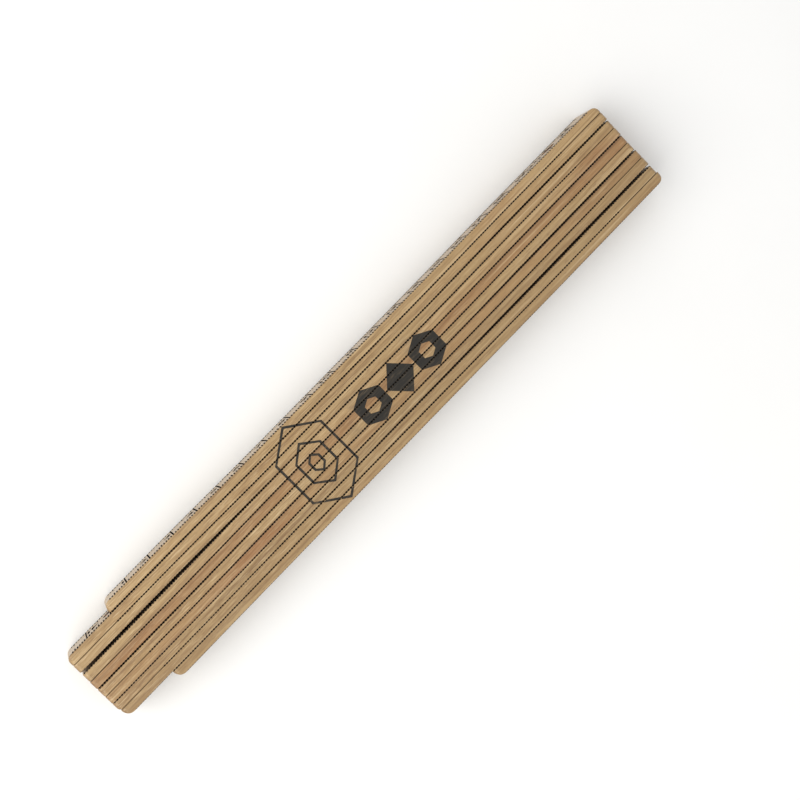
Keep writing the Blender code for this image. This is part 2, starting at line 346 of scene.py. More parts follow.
def add_turned(work, centre, profile, steps=ROUND_STEPS):
    """Adds a solid turned about Y, from the (radius, y) points round half of its section."""
    rings = []
    for radius, y in profile:
        if radius == 0:
            rings.append([work.verts.new((centre[0], y, centre[1]))] * steps)
        else:
            rings.append([work.verts.new((x, y, z)) for x, z in circle(centre, radius, steps)])
    pairs = list(zip(rings, rings[1:]))
    if profile[0][0] > 0:
        pairs.append((rings[-1], rings[0]))
    for first, second in pairs:
        for step in range(steps):
            after = (step + 1) % steps
            corners = [first[step], first[after], second[after], second[step]]
            work.faces.new(list(dict.fromkeys(corners)))


def arc(centre, radius, start, end, steps):
    """Points on an arc in a section, angles in degrees from +radius towards +y."""
    angles = [math.radians(start + (end - start) * step / steps) for step in range(steps + 1)]
    return [(centre[0] + radius * math.cos(a), centre[1] + radius * math.sin(a)) for a in angles]


# ---------------------------------------------------------------- wood


def tip_steps(radii):
    """Distances from a tip at which its rounded corners need a section."""
    found = {0.0}
    for radius in radii:
        for step in range(1, int(90 / CORNER_DEGREES) + 1):
            found.add(radius * (1 - math.cos(math.radians(step * CORNER_DEGREES))))
    kept = []
    for distance in sorted(found):
        if not kept or distance - kept[-1] > SECTION_LEAST:
            kept.append(distance)
    return kept


def section_places(member):
    low, high = WOOD_BOX[member]
    left, right = [
        tip_steps([rule(member, x_side, side) for rule in (corner_radius, tip_corner) for side in (-1, 1)])
        for x_side in (-1, 1)
    ]
    return [low.x + step for step in left] + STATIONS + [high.x - step for step in reversed(right)]


def section(member, x):
    """Points round a member at one place along it: a rectangle with its long edges rounded."""
    low, high = WOOD_BOX[member]
    x_side = -1 if x < 0 else 1
    shift = stray(member, x)
    insets = {side: inset(corner_radius(member, x_side, side), from_tip(member, x)) for side in (-1, 1)}
    deeper = max(insets, key=insets.get)
    insets[deeper] = min(insets[deeper], high.y - low.y - TIP_LEAST - insets[-deeper])
    near = low.y + shift + insets[-1]
    far = high.y + shift - insets[1]
    bottom = HALF_WIDTH - half_width_at(member, x, -1)
    top = HALF_WIDTH + half_width_at(member, x, 1)
    outline = rounded_rectangle((near, bottom), (far, top), LONG_EDGE, EDGE_STEPS)
    return [(x, y, z) for y, z in outline]


def wood_blank(member):
    work = bmesh.new()
    rings = [[work.verts.new(point) for point in section(member, x)] for x in section_places(member)]
    for first, second in zip(rings, rings[1:]):
        for index in range(len(first)):
            after = (index + 1) % len(first)
            work.faces.new((first[index], first[after], second[after], second[index]))
    work.faces.new(rings[0])
    work.faces.new(rings[-1])
    return new_object(f"member_{member:02d}_wood", work)


def plate_outline(hinge, grow=0.0):
    side, pivot = side_of(hinge), PIVOT[hinge]
    ends = sorted((pivot.x - side * (PLATE_INWARD + grow), pivot.x + side * (PLATE_OUTWARD + grow)))
    half = PLATE_HALF_WIDTH + grow
    return rounded_rectangle((ends[0], pivot.z - half), (ends[1], pivot.z + half), PLATE_CORNER)


def prong_outlines(hinge, grow=0.0):
    side, pivot = side_of(hinge), PIVOT[hinge]
    half = (PRONG_HALF[0] + grow, PRONG_HALF[1] + grow)
    for along in PRONG_ALONG:
        for across in (-PRONG_ACROSS, PRONG_ACROSS):
            yield rectangle((pivot.x + side * along, pivot.z + across), half)


def face_y(member, x, facing):
    """Where a member's wide face lies: facing is the Y side that it looks to."""
    return member_y(member) + stray(member, x) + facing * HALF_THICK


def cut_seat(wood, hinge, member, facing):
    """Cuts a hinge's plate recess, prong slots, rivet hole and counterbore in one member."""
    pivot = PIVOT[hinge]
    centre = (pivot.x, pivot.z)
    inner_face = face_y(member, pivot.x, facing)
    outer_face = face_y(member, pivot.x, -facing)
    floor = inner_face - facing * (SINK + PLATE_THICK + CLEAR)
    work = bmesh.new()
    add_prism(work, plate_outline(hinge, CLEAR), floor, inner_face + facing * PAST)
    for outline in prong_outlines(hinge, CLEAR):
        add_prism(work, outline, floor - facing * PRONG_DEPTH, floor + facing * CLEAR)
    ends = (outer_face - facing * PAST, inner_face + facing * PAST)
    add_prism(work, circle(centre, WOOD_HOLE), *ends)
    buried = HEAD_THICK if facing > 0 else RIM_THICK + CLEAR + WASHER_THICK
    bottom = outer_face + facing * (SINK + buried + CLEAR)
    add_prism(work, circle(centre, COUNTERBORE), outer_face - facing * PAST, bottom)
    boolean(wood, new_object("cutter", work))


def add_member(member):
    wood = wood_blank(member)
    if member > 1:
        cut_seat(wood, member - 1, member, 1)
    if member < MEMBERS:
        cut_seat(wood, member, member, -1)
    soften(wood, WOOD_CREASE)
    wood.data.materials.append(beech_material(member))
    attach(wood, f"member_{member:02d}")
    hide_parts(f"slat_{member:02d}")
    return wood


# ---------------------------------------------------------------- hinges


def detent_places(hinge):
    pivot = PIVOT[hinge]
    return [Vector(point) for point in circle((pivot.x, pivot.z), DETENT_CIRCLE, DETENTS * 2)[1::2]]


def detent_profile(outer, shape_mm):
    """A detent's section, from (radius, height) points at a plate's outer face."""
    return [(0, outer + shape_mm[0][1] * MM)] + [(r * MM, outer + y * MM) for r, y in shape_mm]


def plate(hinge, member, facing, name):
    """A stamped plate: the front one has domed detents and the rear one has hollows for them."""
    pivot = PIVOT[hinge]
    outer = face_y(member, pivot.x, facing) - facing * SINK
    inner = outer - facing * PLATE_THICK
    work = bmesh.new()
    add_prism(work, plate_outline(hinge), inner, outer)
    made = new_object(name, work)
    work = bmesh.new()
    add_prism(work, circle((pivot.x, pivot.z), METAL_HOLE), inner - facing * PAST, outer + facing * PAST)
    if facing > 0:
        for place in detent_places(hinge):
            add_turned(work, place, detent_profile(outer, DETENT_HOLLOW_MM), DETENT_STEPS)
    boolean(made, new_object("cutter", work))
    work = bmesh.new()
    for outline in prong_outlines(hinge):
        add_prism(work, outline, inner - facing * (PRONG_DEPTH - JOIN), inner + facing * JOIN)
    if facing < 0:
        for place in detent_places(hinge):
            add_turned(work, place, detent_profile(outer, DETENT_DOME_MM), DETENT_STEPS)
    boolean(made, new_object("joined", work), "UNION")
    soften(made, METAL_CREASE)
    return made


def rivet(hinge, name, brass, shade_and_tarnish):
    """A semi-tubular rivet: closed head at the back, and a rolled rim round its bore at the front."""
    pivot = PIVOT[hinge]
    front = face_y(hinge, pivot.x, 1) - SINK
    back = face_y(hinge + 1, pivot.x, -1) + SINK
    rim_back = front - RIM_THICK
    head_front = back + HEAD_THICK
    bore_end = front - BORE_DEEP
    roll = RIM_THICK / 2
    profile = [(r * MM, bore_end + y * MM) for r, y in BORE_FOOT_MM]
    profile += [(BORE, rim_back)] + [(r * MM, front + y * MM) for r, y in RIM_FLARE_MM]
    profile += arc((RIM - roll, front - roll), roll, 75, -90, 6)
    profile += [(SHANK, rim_back), (SHANK, head_front)]
    profile += [(HEAD - HEAD_BROKEN, head_front), (HEAD, head_front - HEAD_BROKEN)]
    profile += [(r * MM, back + y * MM) for r, y in HEAD_CROWN_MM]
    work = bmesh.new()
    add_turned(work, (pivot.x, pivot.z), profile)
    made = new_object(name, work)
    soften(made, METAL_CREASE)
    made.data.materials.append(brass)
    made.data.materials.append(shade_and_tarnish)
    # painted shade and tarnish: the bore and its flared mouth take the near-black second material
    for face in made.data.polygons:
        from_axis = math.hypot(face.center.x - pivot.x, face.center.z - pivot.z)
        if from_axis < BORE_SHADE and face.center.y > bore_end - BORE_SHADE_FOOT:
            face.material_index = 1
    return made


def washer(hinge, name):
    pivot = PIVOT[hinge]
    front = face_y(hinge, pivot.x, 1) - SINK - RIM_THICK - CLEAR
    back = front - WASHER_THICK
    turn = WASHER_TURN
    profile = [(METAL_HOLE, front), (HEAD - turn, front), (HEAD - turn / 4, front - turn / 4)]
    profile += [(HEAD, front - turn), (HEAD, back + turn), (HEAD - turn, back), (METAL_HOLE, back)]
    work = bmesh.new()
    add_turned(work, (pivot.x, pivot.z), profile)
    made = new_object(name, work)
    soften(made, WASHER_CREASE)
    return made


def add_hinge(hinge, steel, brass, shade_and_tarnish):
    front, rear = f"member_{hinge:02d}", f"member_{hinge + 1:02d}"
    node = f"hinge_{hinge}_{hinge + 1}"
    pieces = [
        (plate(hinge, hinge, -1, f"{node}_front_steel"), front, "front_plate", steel, "spring_steel"),
        (plate(hinge, hinge + 1, 1, f"{node}_rear_steel"), rear, "rear_plate", steel, "spring_steel"),
        (rivet(hinge, f"{node}_rivet_turned", brass, shade_and_tarnish), rear, "rivet", None, "brass"),
        (washer(hinge, f"{node}_washer_turned"), front, "washer", brass, "brass"),
    ]
    for made, body, part, material, slot in pieces:
        if material:
            made.data.materials.append(material)
        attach(made, body)
        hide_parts(f"{node}_{part}")


# ---------------------------------------------------------------- printed scale


def digit_meshes():
    """Each numeral as a thin solid lying in XY, with its width, from Blender's own font."""
    found = {}
    for digit in "0123456789":
        curve = bpy.data.curves.new("digit", "FONT")
        curve.body = digit
        curve.resolution_u = NUMERAL_CURVE
        curve.extrude = 1.0
        curve.offset = NUMERAL_BOLDER
        shown = bpy.data.objects.new("digit", curve)
        bpy.context.scene.collection.objects.link(shown)
        bpy.context.view_layer.update()
        data = bpy.data.meshes.new_from_object(shown.evaluated_get(bpy.context.evaluated_depsgraph_get()))
        bpy.data.objects.remove(shown)
        work = bmesh.new()
        work.from_mesh(data)
        bpy.data.meshes.remove(data)
        bmesh.ops.remove_doubles(work, verts=work.verts, dist=1e-5)
        left = min(vert.co.x for vert in work.verts)
        right = max(vert.co.x for vert in work.verts)
        top = max(vert.co.y for vert in work.verts)
        bottom = min(vert.co.y for vert in work.verts)
        work.verts.index_update()
        corners = [(vert.co.x - left, vert.co.y - bottom, vert.co.z > 0) for vert in work.verts]
        faces = [[vert.index for vert in face.verts] for face in work.faces]
        found[digit] = (corners, faces, right - left, top - bottom)
        work.free()
    return found


class ScaleFace:
    """One wide face of a member, with its scale: along grows with the numbers, up is the digits' up."""

    def __init__(self, work, member, facing):
        self.work = work
        self.member = member
        self.facing = facing
        order = member if facing > 0 else MEMBERS + 1 - member
        self.way = 1 if order % 2 else -1
        self.up = -self.way * facing
        self.first = (order - 1) * round(2 * REACH / MM)
        self.plates = []
        self.rivets = []
        if member > 1:
            (self.plates if facing > 0 else self.rivets).append(self.along(PIVOT[member - 1].x))
        if member < MEMBERS:
            (self.rivets if facing > 0 else self.plates).append(self.along(PIVOT[member].x))

    def along(self, x):
        """Distance from the face's own zero, which is on the pivots' line."""
        return self.way * x + REACH

    def x(self, along):
        return self.way * (along - REACH)

    def point(self, along, up, out):
        """A place on the face, or out from it."""
        x = self.x(along)
        y = face_y(self.member, x, self.facing) + self.facing * out
        return (x, y, HALF_WIDTH + self.up * up)

    def add_strip(self, along, width, places):
        """A closed strip of film over places of (up, out, tilt), tilt being the face's turn there."""
        rows = []
        for up, out, tilt in places:
            rows.append([
                self.work.verts.new(self.point(
                    along + side * width / 2,
                    up + layer * FILM * math.sin(tilt),
                    out + layer * FILM * math.cos(tilt),
                ))
                for layer, side in ((1, 1), (1, -1), (-1, -1), (-1, 1))
            ])
        for first, second in zip(rows, rows[1:]):
            for index in range(4):
                after = (index + 1) % 4
                self.work.faces.new((first[index], first[after], second[after], second[index]))
        self.work.faces.new(rows[0])
        self.work.faces.new(rows[-1])

    def round_edge(self, half, end):
        """Places from the flat face round the long edge on the side that end (1 or -1) names."""
        places = []
        for step in range(EDGE_STEPS + 1):
            tilt = math.radians(90 * step / EDGE_STEPS)
            up = half - LONG_EDGE * (1 - math.sin(tilt))
            places.append((end * up, LONG_EDGE * (math.cos(tilt) - 1), end * tilt))
        return places

    def off_face(self, along):
        """Whether a place is on or past a tip's rounded corner, where the flat face has ended."""
        x = self.x(along)
        x_side = -1 if x < 0 else 1
        radius = corner_radius(self.member, x_side, self.facing)
        return from_tip(self.member, x) < radius + TICK_WIDTH / 2

    def on_plate(self, along, room):
        x = self.x(along)
        for centre in self.plates:
            pivot_x = self.x(centre)
            side = 1 if pivot_x > 0 else -1
            outward = side * (x - pivot_x)
            if -PLATE_INWARD - room < outward < PLATE_OUTWARD + room:
                return True
        return False

    def rivet_half(self, along):
        """Half the height that a counterbore takes from a line there."""
        room = COUNTERBORE + RIVET_ROOM
        for centre in self.rivets:
            if abs(along - centre) < room:
                return math.sqrt(room**2 - (along - centre) ** 2)
        return 0.0

    def add_line(self, millimetre):
        along = (millimetre - self.first) * MM
        if self.off_face(along):
            return
        inner = HALF_WIDTH - TICK_LONG
        width = TICK_WIDTH
        if not self.on_plate(along, LINE_PLATE_ROOM):
            if millimetre % 10 == 0:
                inner = self.rivet_half(along)
                width = CM_WIDTH
            elif millimetre % 5 == 0:
                inner = HALF_WIDTH - HALF_CM_LONG
        halves = {end: half_width_at(self.member, self.x(along), self.up * end) for end in (1, -1)}
        if inner == 0.0:
            whole = self.round_edge(halves[-1], -1)[::-1] + self.round_edge(halves[1], 1)
            self.add_strip(along, width, whole)
            return
        for end, half in halves.items():
            if half > inner + STROKE_LEAST:
                self.add_strip(along, width, [(end * inner, 0.0, 0.0)] + self.round_edge(half, end))

    def add_number(self, millimetre, digits):
        """A centimetre number, which ends just before its line or rivet and fits after the line before."""
        text = str(millimetre // 10)
        end = (millimetre - self.first) * MM - NUMERAL_GAP
        end -= self.rivet_half(end)
        room = end - (millimetre - self.first - 10) * MM - NUMERAL_GAP
        shares = [digits[digit][2] / digits["0"][3] for digit in text]
        shares += [NUMERAL_SPACE] * (len(text) - 1)
        tall = min(NUMERAL_HEIGHT, room / sum(shares))
        start = end - tall * sum(shares)
        if self.on_plate(end, NUMERAL_PLATE_ROOM) or self.on_plate(start, NUMERAL_PLATE_ROOM):
            return
        if self.rivet_half(start):
            return
        if self.off_face(start - NUMERAL_TIP_ROOM) or self.off_face(end + NUMERAL_TIP_ROOM):
            return
        for digit, share in zip(text, shares):
            self.add_digit(digits[digit], start, tall / digits["0"][3])
            start += tall * (share + NUMERAL_SPACE)

    def add_digit(self, shape, start, size):
        corners, faces, _, tall = shape
        low = -tall * size / 2
        made = [
            self.work.verts.new(self.point(start + a * size, low + b * size, FILM if top else -FILM))
            for a, b, top in corners
        ]
        for face in faces:
            self.work.faces.new([made[index] for index in face])

    def add_all(self, digits):
        low, high = WOOD_BOX[self.member]
        ends = sorted((self.along(low.x), self.along(high.x)))
        first = math.ceil(max(ends[0], 0.0) / MM) + self.first
        last = math.floor(ends[1] / MM) + self.first
        for millimetre in range(max(first, 1), last + 1):
            self.add_line(millimetre)
            if millimetre % 10 == 0:
                self.add_number(millimetre, digits)


def add_scale(member, digits, ink):
    work = bmesh.new()
    for facing in (1, -1):
        ScaleFace(work, member, facing).add_all(digits)
    made = new_object(f"member_{member:02d}_scale_print", work)
    made.data.materials.append(ink)
    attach(made, f"member_{member:02d}")


# ---------------------------------------------------------------- printed mark on the stack of edges


def ring_of(points, inner):
    """Quads between an outline and a smaller one with as many points."""
    quads = []
    for index in range(len(points)):
        after = (index + 1) % len(points)
        quads.append((points[index], points[after], inner[after], inner[index]))
    return quads


def scaled(points, centre, share):
    return [(centre[0] + (x - centre[0]) * share, centre[1] + (y - centre[1]) * share) for x, y in points]


def diamond(centre, half):
    signs = ((0, 1), (-1, 0), (0, -1), (1, 0))
    return [(centre[0] + a * half[0], centre[1] + b * half[1]) for a, b in signs]


def hexagon(centre, half_x, half_y, shoulder):
    """A six-sided outline with points at its top and bottom."""
    x, y = centre
    return [
        (x, y + half_y),
        (x - half_x, y + shoulder),
        (x - half_x, y - shoulder),
        (x, y - half_y),
        (x + half_x, y - shoulder),
        (x + half_x, y + shoulder),
    ]


def outline_stroke(centre, half_x, half_y, shoulder):
    outer = hexagon(centre, half_x, half_y, shoulder)
    inner_shoulder = shoulder - STROKE * STROKE_SHOULDER
    inner = hexagon(centre, half_x - STROKE, half_y - STROKE * STROKE_TIP, inner_shoulder)
    return ring_of(outer, inner)


def mark_faces():
    """The generic mark's flat faces, in (x, y)."""
    low = face_y(MEMBERS, 0, -1) + MARK_MARGIN[MEMBERS]
    high = face_y(1, 0, 1) - MARK_MARGIN[1]
    badge = (BADGE_X, (low + high) / 2)
    half_x, shoulder = BADGE_OUTER
    faces = outline_stroke(badge, half_x, (high - low) / 2, shoulder)
    for sizes in BADGE_INNER:
        faces += outline_stroke(badge, *sizes)
    for x in BLOCK_X:
        centre = (x, BLOCK_Y)
        outer = hexagon(centre, *BLOCK_HALF, BLOCK_SHOULDER)
        faces += ring_of(outer, scaled(outer, centre, BLOCK_HOLE))
    faces.append(diamond((DIAMOND_X, BLOCK_Y), DIAMOND_HALF))
    return faces


def keep_side(work, y, keep_above):
    """Cuts a flat bmesh along a line of constant y, and drops one side of it."""
    geometry = work.verts[:] + work.edges[:] + work.faces[:]
    bmesh.ops.bisect_plane(
        work, geom=geometry, dist=1e-8, plane_co=(0, y, 0), plane_no=(0, 1, 0),
        clear_inner=keep_above, clear_outer=not keep_above,
    )


def edge_height(distance):
    """The height of a member's upper face at a distance in from its side."""
    return WIDTH - inset(LONG_EDGE, distance)


def add_mark(member, faces, ink):
    """The part of the mark that falls on one member's edge, following its rounded long edges."""
    work = bmesh.new()
    for face in faces:
        work.faces.new([work.verts.new((x, y, 0)) for x, y in face])
    low = face_y(member, 0, -1)
    high = face_y(member, 0, 1)
    turns = [math.radians(90 * step / EDGE_STEPS) for step in range(1, EDGE_STEPS + 1)]
    steps = [LONG_EDGE * (1 - math.cos(turn)) for turn in turns]
    keep_side(work, low + steps[0] * MARK_TRIM, True)
    keep_side(work, high - steps[0] * MARK_TRIM, False)
    if not work.faces:
        work.free()
        return
    for y in [low + step for step in steps] + [high - step for step in steps]:
        geometry = work.verts[:] + work.edges[:] + work.faces[:]
        bmesh.ops.bisect_plane(work, geom=geometry, dist=1e-8, plane_co=(0, y, 0), plane_no=(0, 1, 0))
    for vert in work.verts:
        distance = min(vert.co.y - low, high - vert.co.y)
        vert.co.z = edge_height(distance) + FILM
        vert.co.y += stray(member, vert.co.x)
    grown = bmesh.ops.extrude_face_region(work, geom=work.faces[:])["geom"]
    lower = [item for item in grown if isinstance(item, bmesh.types.BMVert)]
    bmesh.ops.translate(work, vec=(0, 0, -2 * FILM), verts=lower)
    made = new_object(f"member_{member:02d}_edge_print", work)
    made.data.materials.append(ink)
    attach(made, f"member_{member:02d}")


# ---------------------------------------------------------------- materials


def linear(red, green, blue):
    """A colour as a shader takes it, from one given the usual way in 0 to 255."""
    shares = [value / 255 for value in (red, green, blue)]
    return tuple(s / 12.92 if s <= 0.04045 else ((s + 0.055) / 1.055) ** 2.4 for s in shares) + (1.0,)


class Shading:
    """One material under construction: adds nodes and links whatever is given as a socket."""

    def __init__(self, name):
        self.material = bpy.data.materials.new(name)
        self.material.use_nodes = True
        self.tree = self.material.node_tree
        self.shader = self.tree.nodes["Principled BSDF"]
        self.place = self.add("TexCoord").outputs["Object"]

    def set(self, socket, value):
        if isinstance(value, bpy.types.NodeSocket):
            self.tree.links.new(value, socket)
        else:
            socket.default_value = value

    def add(self, kind, inputs=None, **settings):
        made = self.tree.nodes.new(f"ShaderNode{kind}")
        for name, value in settings.items():
            setattr(made, name, value)
        for name, value in (inputs or {}).items():
            self.set(made.inputs[name], value)
        return made

    def principled(self, **values):
        for name, value in values.items():
            self.set(self.shader.inputs[name.replace("_", " ")], value)

    def stretch(self, scale, offset=(0, 0, 0), turn=(0, 0, 0), source=None):
        inputs = {"Vector": source or self.place, "Location": offset, "Rotation": turn, "Scale": scale}
        return self.add("Mapping", inputs).outputs[0]

    def noise(self, vector, scale=1.0, detail=3.0, roughness=0.55, distortion=0.0):
        inputs = {"Vector": vector, "Scale": scale, "Detail": detail, "Roughness": roughness}
        inputs["Distortion"] = distortion
        return self.add("TexNoise", inputs).outputs["Fac"]

    def math(self, operation, first, second=0.0, clamp=False):
        return self.add("Math", {0: first, 1: second}, operation=operation, use_clamp=clamp).outputs[0]

    def between(self, value, low, high, to_low=0.0, to_high=1.0):
        """Maps a value from one range to another, smoothly and without going past it."""
        made = self.add("MapRange", {"Value": value}, interpolation_type="SMOOTHSTEP")
        limits = {"From Min": low, "From Max": high, "To Min": to_low, "To Max": to_high}
        for name, limit in limits.items():
            self.set(made.inputs[name], limit)
        return made.outputs["Result"]

    def mix(self, share, first, second, blend="MIX"):
        made = self.add("Mix", data_type="RGBA", blend_type=blend, clamp_factor=True)
        for index, value in ((0, share), (6, first), (7, second)):
            self.set(made.inputs[index], value)
        return made.outputs[2]

    def bump(self, height, distance, strength=1.0, normal=None):
        inputs = {"Height": height, "Distance": distance, "Strength": strength}
        if normal is not None:
            inputs["Normal"] = normal
        return self.add("Bump", inputs).outputs[0]

    def axes(self, vector=None):
        return self.add("SeparateXYZ", {0: vector or self.place}).outputs


PALE = "beech_pale"
HONEY = "beech_honey"
ROSY = "beech_rosy"
BEECH_SLOT = {member: HONEY for member in range(1, MEMBERS + 1)} | {1: PALE, 4: PALE, 5: ROSY, 7: ROSY}
BEECH_COLOUR = {PALE: linear(173, 143, 98), HONEY: linear(165, 136, 92), ROSY: linear(158, 120, 76)}
OWN_COLOUR = {7: linear(161, 128, 84)}  # a member that lies between its slot's tone and the next
BROWN = linear(100, 66, 36)
CREAM = linear(208, 183, 142)
RED_BROWN = linear(142, 94, 52)
GREY_SMUDGE = linear(96, 88, 78)
# a paler grey for the wide faces: partly their lacquer, partly painted grazing reflection
FACE_GREY_AND_SHEEN = linear(186, 172, 152)
# dark brown for painted shade, in the gaps between members and round the rivets
PAINTED_SHADE_BROWN = linear(66, 46, 30)
RIVET_SHADE_REACH = 3.2 * MM  # how far the painted shade and metal stain reach round a rivet
OUTER_Y = 14.4 * MM  # wood beyond this belongs to the stack's two outer faces
RING_HEART = 45 * MM  # how far off the middle of the growth rings lies
SHEEN_REACH = 70 * MM  # painted sheen: the silky grain's highlights and dark streaks grow stronger over this range, towards -X where more light falls
SMEAR_X = (13 * MM, 28 * MM, 16 * MM)  # the smeared ink's middle, then where it is gone and where full
SMEAR_Y = (12 * MM, 5 * MM)
# A member's own redder stretch: (middle and half length in mm along X, strength)
PATCH_MM = {1: (72, 16, 0.25), 4: (108, 14, 0.6), 5: (-100, 22, 0.35), 7: (-55, 24, 0.75)}
# How much lighter or darker a member is than its colour
SHADE = {1: 1.0, 2: 1.08, 3: 1.0, 4: 0.98, 5: 0.93, 6: 1.0, 7: 0.98, 8: 0.91, 9: 0.9, 10: 0.96}
# How silky a member's grain is, and how strong its painted sheen is
SILK_SHEEN = {1: 0.9, 2: 1.1, 3: 0.9, 4: 0.9, 5: 0.6, 6: 1.1, 7: 0.6, 8: 1.0, 9: 0.8, 10: 0.6}


def beech_material(member):
    """Varnished beech with its own tone, rings, fibres, flecks and end grain."""
    chance = random.Random(700 + member)
    wood = Shading(f"beech_{member:02d}")
    x, y, z = wood.axes()
    offset = tuple(chance.uniform(-5, 5) for _ in range(3))
    grain_turn = (0, chance.uniform(-0.012, 0.012), chance.uniform(-0.012, 0.012))
    placed = wood.stretch((1, 1, 1), turn=grain_turn)

    # growth rings round a far-off heart, drawn out along the member
    heart = chance.uniform(0, 2 * math.pi)
    heart_place = (0, RING_HEART * math.cos(heart), RING_HEART * math.sin(heart))
    ring_space = wood.stretch((0.06, 1, 1), offset=heart_place, source=placed)
    ring_inputs = {
        "Vector": ring_space,
        "Scale": 120.0,
        "Distortion": 5.0,
        "Detail": 3.0,
        "Detail Scale": 0.9,
        "Detail Roughness": 0.6,
        "Phase Offset": chance.uniform(0, 6),
    }
    ring_kind = {"wave_type": "RINGS", "rings_direction": "X", "wave_profile": "SAW"}
    rings = wood.add("TexWave", ring_inputs, **ring_kind).outputs["Fac"]
    ring_line = wood.between(rings, 0.72, 1.0)

    fibre_space = wood.stretch((60, 3600, 3600), offset=offset, source=placed)
    fibres = wood.noise(fibre_space, detail=4.0, roughness=0.65)
    streak_space = wood.stretch((14, 900, 900), offset=offset, source=placed)
    streaks = wood.noise(streak_space, detail=3.0, roughness=0.6)
    fleck_space = wood.stretch((420, 4200, 2600), offset=offset, source=placed)
    flecks = wood.between(wood.noise(fleck_space, detail=1.0), 0.63, 0.72)
    cream_space = wood.stretch((90, 2600, 2600), offset=offset[::-1], source=placed)
    cream = wood.between(wood.noise(cream_space, detail=2.0), 0.6, 0.74)
    cloud_space = wood.stretch((16, 120, 60), offset=offset)
    clouds = wood.noise(cloud_space, detail=2.0)
    # silky streaks in the grain, used as painted sheen
    silk_sheen_space = wood.stretch((170, 5200, 5200), offset=offset[::-1], source=placed)
    silk_sheen = wood.noise(silk_sheen_space, detail=3.0, roughness=0.6, distortion=0.3)
    sheen_falloff = wood.between(x, SHEEN_REACH, -SHEEN_REACH, 0.4, 1.0)

    shade = SHADE[member]
    tone = OWN_COLOUR.get(member, BEECH_COLOUR[BEECH_SLOT[member]])
    base = tuple(c * shade for c in tone[:3]) + (1.0,)
    colour = wood.mix(wood.between(clouds, 0.3, 0.75, 0.0, 0.2), base, RED_BROWN)
    if member in PATCH_MM:
        middle, half, strength = PATCH_MM[member]
        away = wood.math("ABSOLUTE", wood.math("SUBTRACT", x, middle * MM))
        wavy = wood.math("ADD", away, wood.math("MULTIPLY", wood.math("SUBTRACT", streaks, 0.5), 0.05))
        patch = wood.between(wavy, half * MM, 0.0, 0.0, strength)
        colour = wood.mix(patch, colour, RED_BROWN)
    colour = wood.mix(wood.math("MULTIPLY", ring_line, 0.3), colour, BROWN)
    colour = wood.mix(wood.between(streaks, 0.48, 0.7, 0.0, 0.42), colour, BROWN)
    colour = wood.mix(wood.between(streaks, 0.45, 0.28, 0.0, 0.45), colour, CREAM)
    colour = wood.mix(wood.between(fibres, 0.52, 0.76, 0.0, 0.5), colour, BROWN)
    colour = wood.mix(wood.between(fibres, 0.46, 0.25, 0.0, 0.35), colour, CREAM)
    # painted sheen: pale and dark silky streaks, partly grain, stronger towards -X where more light falls
    dark_silk_sheen = wood.between(silk_sheen, 0.53, 0.7, 0.0, 0.55 * SILK_SHEEN[member])
    pale_silk_sheen = wood.between(silk_sheen, 0.47, 0.32, 0.0, 0.65 * SILK_SHEEN[member])
    colour = wood.mix(wood.math("MULTIPLY", sheen_falloff, dark_silk_sheen), colour, BROWN)
    colour = wood.mix(wood.math("MULTIPLY", sheen_falloff, pale_silk_sheen), colour, CREAM)
    colour = wood.mix(wood.math("MULTIPLY", flecks, 0.4), colour, BROWN)
    colour = wood.mix(wood.math("MULTIPLY", cream, 0.3), colour, CREAM)

    # a grey smear of ink round the printed blocks, on the stack's upper edges
    from_middle = wood.math("ABSOLUTE", wood.math("SUBTRACT", x, SMEAR_X[0]))
    near_x = wood.between(from_middle, *SMEAR_X[1:])
    near_y = wood.between(wood.math("ABSOLUTE", y), *SMEAR_Y)
    above = wood.between(z, WIDTH - 0.4 * MM, WIDTH - 0.1 * MM)
    smear = wood.noise(wood.stretch((160, 260, 260)), detail=3.0)
    smear = wood.between(smear, 0.5, 0.8, 0.0, 0.35)
    near = wood.math("MULTIPLY", near_x, near_y)
    smear = wood.math("MULTIPLY", near, wood.math("MULTIPLY", above, smear))
    colour = wood.mix(smear, colour, GREY_SMUDGE)

    # the wide faces are painted a little greyer and paler: partly their lacquer, partly a painted grazing
    # reflection
    facing = wood.axes(wood.add("TexCoord").outputs["Normal"])
    wide_face_grey_and_sheen = wood.between(wood.math("ABSOLUTE", facing[1]), 0.8, 0.97, 0.0, 0.4)
    colour = wood.mix(wide_face_grey_and_sheen, colour, FACE_GREY_AND_SHEEN)

    # painted shade and metal stain: the wood in and round each rivet's counterbore is darkened
    for hinge in (member - 1, member):
        if hinge in PIVOT:
            flat = wood.add("CombineXYZ", {0: x, 2: z}).outputs[0]
            centre = (PIVOT[hinge].x, 0, PIVOT[hinge].z)
            away = wood.add("VectorMath", {0: flat, 1: centre}, operation="DISTANCE").outputs["Value"]
            darkening = wood.between(away, RIVET_SHADE_REACH, COUNTERBORE - 0.1 * MM, 0.0, 0.85)
            colour = wood.mix(darkening, colour, PAINTED_SHADE_BROWN)

    # painted shade between members: the rounded long edges inside the stack are darkened, in streaks
    rounded = wood.math("ABSOLUTE", wood.math("MULTIPLY", facing[1], facing[2]))
    inside = wood.between(wood.math("ABSOLUTE", y), OUTER_Y + 0.2 * MM, OUTER_Y, 0.0, 1.0)
    streaked_gap_shade = wood.math("MULTIPLY", wood.between(streaks, 0.3, 0.7, 0.2, 0.7), inside)
    colour = wood.mix(wood.math("MULTIPLY", wood.between(rounded, 0.08, 0.45), streaked_gap_shade), colour, PAINTED_SHADE_BROWN)

